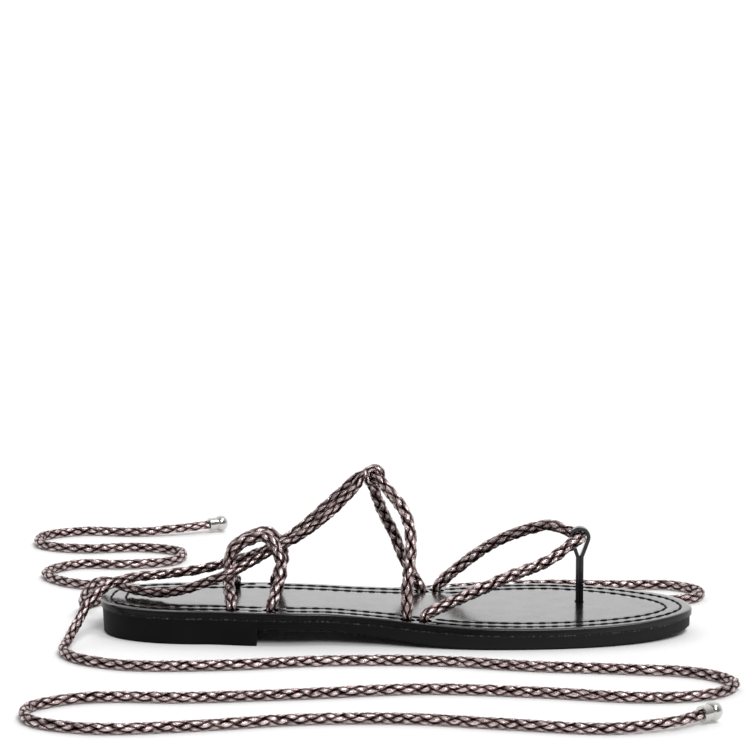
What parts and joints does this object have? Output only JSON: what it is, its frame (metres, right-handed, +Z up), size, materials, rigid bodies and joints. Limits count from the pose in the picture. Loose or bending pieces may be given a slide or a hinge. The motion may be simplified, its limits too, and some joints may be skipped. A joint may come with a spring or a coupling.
{
  "type": "lace-up sandal",
  "caption": "Flat right-foot sandal: moulded low-heel sole, stitched footbed, braided toe thong on a post, instep arch, heel loops and a long braided ankle lace lying loose.",
  "frame": {"origin": "on the floor, under the middle of the sole's bounding box", "axes": "+X from heel to toe, +Y towards the medial side, +Z up"},
  "size_m": [0.3081, 0.3777, 0.0702],
  "materials": {
    "outsole": "matte black moulded rubber",
    "footbed": "smooth semi-gloss black faux leather",
    "toe_post": "glossy black strap",
    "strap_braid": "metallic pewter faux-leather braid",
    "lace_braid": "metallic pewter faux-leather braid",
    "end_cap": "bright plated metal"
  },
  "bodies": {
    "root": {"outsole": "outsole", "footbed": "footbed", "toe_post": "toe_post", "toe_thong": "strap_braid", "instep_loop": "strap_braid", "heel_loop_lateral": "strap_braid", "heel_loop_medial": "strap_braid", "lace": "lace_braid", "lace_tie_lateral": "lace_braid", "lace_tie_medial": "lace_braid", "end_cap_lateral": "end_cap", "end_cap_medial": "end_cap"}
  },
  "joints": []
}
